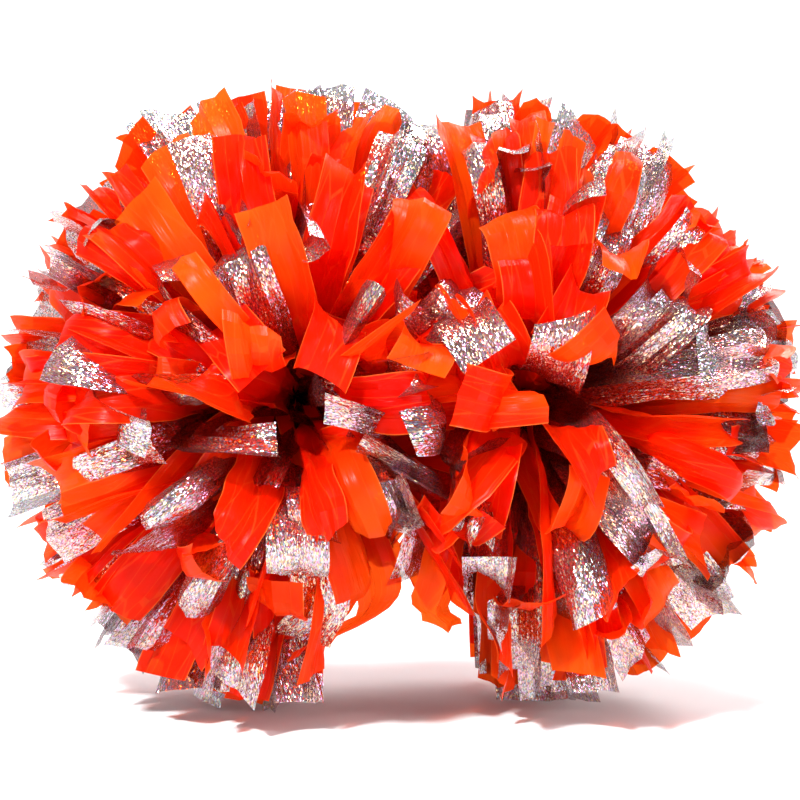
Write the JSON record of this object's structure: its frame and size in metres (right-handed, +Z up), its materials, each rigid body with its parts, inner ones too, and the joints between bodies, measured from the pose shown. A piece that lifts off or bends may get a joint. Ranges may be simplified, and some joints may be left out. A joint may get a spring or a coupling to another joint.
{
  "type": "cheer pom pom",
  "caption": "Cheerleading pom pom: red plastic and silver holographic film streamers in two tufts, each gathered through an eye at the end of a moulded hand grip",
  "frame": {"origin": "On the floor under the pom pom as it rests on its lowest streamers, straight below the middle of the grip", "axes": "X along the grip, from the left tuft to the right one as seen from the front; the front faces -Y; Z up"},
  "size_m": [0.3238, 0.2484, 0.2615],
  "materials": {
    "red_film": "gloss, translucent",
    "silver_film": "metallised, holographic",
    "handle_plastic": "satin",
    "tie_nylon": "satin"
  },
  "bodies": {
    "handle": {"handle": "handle_plastic"},
    "left_tuft": {"left_ties": "tie_nylon", "left_red_01": "red_film", "left_silver_02": "silver_film", "left_red_03": "red_film", "left_silver_04": "silver_film", "left_red_05": "red_film", "left_red_06": "red_film", "left_silver_07": "silver_film", "left_red_08": "red_film", "left_silver_09": "silver_film", "left_red_10": "red_film", "left_silver_11": "silver_film", "left_red_12": "red_film", "left_red_13": "red_film", "left_silver_14": "silver_film", "left_red_15": "red_film", "left_silver_16": "silver_film"},
    "right_tuft": {"right_ties": "tie_nylon", "right_red_01": "red_film", "right_silver_02": "silver_film", "right_red_03": "red_film", "right_silver_04": "silver_film", "right_red_05": "red_film", "right_red_06": "red_film", "right_silver_07": "silver_film", "right_red_08": "red_film", "right_silver_09": "silver_film", "right_red_10": "red_film", "right_silver_11": "silver_film", "right_red_12": "red_film", "right_red_13": "red_film", "right_silver_14": "silver_film", "right_red_15": "red_film", "right_silver_16": "silver_film"}
  },
  "joints": [
    {"name": "left_tuft_nod", "type": "hinge", "parent": "handle", "child": "left_tuft", "pos_m": [-0.046, 0, 0.131], "axis": [1, 0, 0], "range_deg": [-12, 12], "stiffness_Nm_per_rad": 0.4},
    {"name": "right_tuft_nod", "type": "hinge", "parent": "handle", "child": "right_tuft", "pos_m": [0.046, 0, 0.131], "axis": [1, 0, 0], "range_deg": [-12, 12], "stiffness_Nm_per_rad": 0.4}
  ]
}
